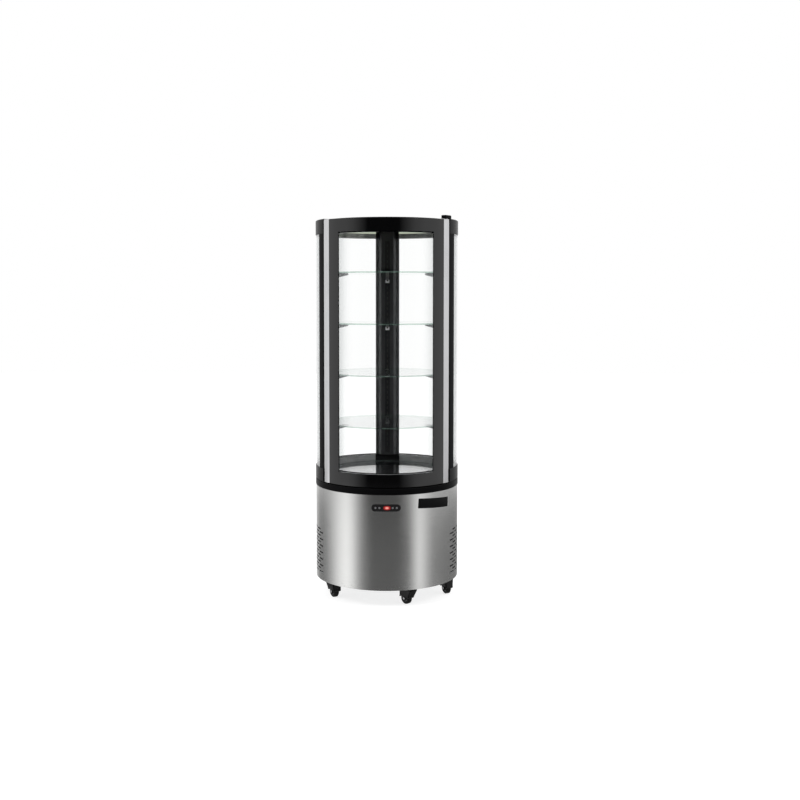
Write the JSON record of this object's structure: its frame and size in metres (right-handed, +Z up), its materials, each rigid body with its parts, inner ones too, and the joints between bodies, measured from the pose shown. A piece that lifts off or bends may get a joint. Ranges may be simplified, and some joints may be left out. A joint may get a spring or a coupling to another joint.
{
  "type": "refrigerated display case",
  "caption": "Round floor-standing refrigerated glass display case on casters, with a hinged curved glass door, fixed glass shelves and a steel base with vents and controls.",
  "frame": {"origin": "centre of the round footprint, on the floor", "axes": "+Z up, -Y out through the door, +X to the right as seen from the door side"},
  "size_m": [0.68, 0.68, 1.783],
  "materials": {
    "black_trim": "satin black moulded ring",
    "black_metal": "black powder coat",
    "rail_metal": "dull zinc plate",
    "stainless": "brushed along the curve",
    "ceiling_white": "white sheet",
    "light_diffuser": "milky diffuser",
    "glass": "clear float glass",
    "aluminium": "satin anodised",
    "seal": "soft black seal",
    "panel_black": "gloss black",
    "display": "red lit window",
    "button": "grey caps",
    "insulation": "white liner",
    "machine_black": "black enamel",
    "fin_metal": "bare fins",
    "copper": "bare copper pipe",
    "fan_plastic": "moulded blades",
    "wheel": "black tread"
  },
  "bodies": {
    "cabinet": {"base_pan": "stainless", "base_front_panel": "stainless", "base_left_grille": "stainless", "base_right_grille": "stainless", "base_rear_panel": "stainless", "base_ring": "black_trim", "lower_collar": "black_trim", "evaporator_tub": "insulation", "deck_plate": "stainless", "collar_sill": "black_trim", "floor_glass": "glass", "rear_column": "black_metal", "shelf_rail": "rail_metal", "front_post_left": "black_trim", "front_post_right": "black_trim", "top_ring": "black_trim", "top_cover": "black_metal", "ceiling_panel": "ceiling_white", "ceiling_light": "light_diffuser", "side_outer_panes": "glass", "side_inner_panes": "glass", "glass_spacers": "aluminium", "shelf_1": "glass", "shelf_2": "glass", "shelf_3": "glass", "shelf_4": "glass", "shelf_brackets": "rail_metal", "top_hinge_bracket": "black_trim", "control_bezel": "panel_black", "display_lens": "display", "compressor": "machine_black", "condenser_coil": "fin_metal", "condenser_fan_mount": "machine_black", "evaporator_coil": "fin_metal", "evaporator_fan_mount": "fin_metal", "refrigerant_lines": "copper", "cable_gland": "panel_black", "caster_plates": "black_metal"},
    "door": {"door_outer_pane": "glass", "door_inner_pane": "glass", "door_spacer": "aluminium", "door_rails": "black_trim", "door_hinge_stile": "aluminium", "door_handle_stile": "aluminium", "door_gasket": "seal", "door_hinge_pins": "rail_metal"},
    "condenser_rotor": {"condenser_fan": "fan_plastic"},
    "evaporator_rotor": {"evaporator_fan": "fan_plastic"},
    "caster_swivel_1": {"caster_fork_1": "black_metal"},
    "caster_roller_1": {"caster_wheel_1": "wheel"},
    "caster_swivel_2": {"caster_fork_2": "black_metal"},
    "caster_roller_2": {"caster_wheel_2": "wheel"},
    "caster_swivel_3": {"caster_fork_3": "black_metal"},
    "caster_roller_3": {"caster_wheel_3": "wheel"},
    "caster_swivel_4": {"caster_fork_4": "black_metal"},
    "caster_roller_4": {"caster_wheel_4": "wheel"},
    "button_1": {"button_1": "button"},
    "button_2": {"button_2": "button"},
    "button_3": {"button_3": "button"},
    "button_4": {"button_4": "button"}
  },
  "joints": [
    {"name": "door_hinge", "type": "hinge", "parent": "cabinet", "child": "door", "pos_m": [0.27518, -0.18214, 0.5465], "axis": [0, 0, 1], "range_deg": [0, 110]},
    {"name": "condenser_fan_spin", "type": "hinge", "parent": "cabinet", "child": "condenser_rotor", "pos_m": [0.189, 0, 0.204], "axis": [1, 0, 0], "continuous": true},
    {"name": "evaporator_fan_spin", "type": "hinge", "parent": "cabinet", "child": "evaporator_rotor", "pos_m": [0, 0.13, 0.45184], "axis": [0, 1, 0], "continuous": true},
    {"name": "caster_swivel_1", "type": "hinge", "parent": "cabinet", "child": "caster_swivel_1", "pos_m": [-0.25322, -0.12902, 0.0935], "axis": [0, 0, 1], "continuous": true},
    {"name": "caster_roll_1", "type": "hinge", "parent": "caster_swivel_1", "child": "caster_roller_1", "pos_m": [-0.24498, -0.14274, 0.0275], "axis": [0.8572, 0.515, 0], "continuous": true},
    {"name": "caster_swivel_2", "type": "hinge", "parent": "cabinet", "child": "caster_swivel_2", "pos_m": [0.10416, -0.26442, 0.0935], "axis": [0, 0, 1], "continuous": true},
    {"name": "caster_roll_2", "type": "hinge", "parent": "caster_swivel_2", "child": "caster_roller_2", "pos_m": [0.09335, -0.25263, 0.0275], "axis": [-0.7373, -0.6756, 0], "continuous": true},
    {"name": "caster_swivel_3", "type": "hinge", "parent": "cabinet", "child": "caster_swivel_3", "pos_m": [0.27692, -0.06393, 0.0935], "axis": [0, 0, 1], "continuous": true},
    {"name": "caster_roll_3", "type": "hinge", "parent": "caster_swivel_3", "child": "caster_roller_3", "pos_m": [0.28418, -0.07819, 0.0275], "axis": [0.891, 0.454, 0], "continuous": true},
    {"name": "caster_swivel_4", "type": "hinge", "parent": "cabinet", "child": "caster_swivel_4", "pos_m": [-0.03464, 0.28208, 0.0935], "axis": [0, 0, 1], "continuous": true},
    {"name": "caster_roll_4", "type": "hinge", "parent": "caster_swivel_4", "child": "caster_roller_4", "pos_m": [-0.03049, 0.26663, 0.0275], "axis": [0.9659, 0.2588, 0], "continuous": true},
    {"name": "button_press_1", "type": "slide", "parent": "cabinet", "child": "button_1", "axis": [0.1412, 0.99, 0], "range_m": [0, 0.0008], "stiffness_N_per_m": 400, "springref_m": -0.0004},
    {"name": "button_press_2", "type": "slide", "parent": "cabinet", "child": "button_2", "axis": [0.0882, 0.9961, 0], "range_m": [0, 0.0008], "stiffness_N_per_m": 400, "springref_m": -0.0004},
    {"name": "button_press_3", "type": "slide", "parent": "cabinet", "child": "button_3", "axis": [-0.0882, 0.9961, 0], "range_m": [0, 0.0008], "stiffness_N_per_m": 400, "springref_m": -0.0004},
    {"name": "button_press_4", "type": "slide", "parent": "cabinet", "child": "button_4", "axis": [-0.1412, 0.99, 0], "range_m": [0, 0.0008], "stiffness_N_per_m": 400, "springref_m": -0.0004}
  ]
}
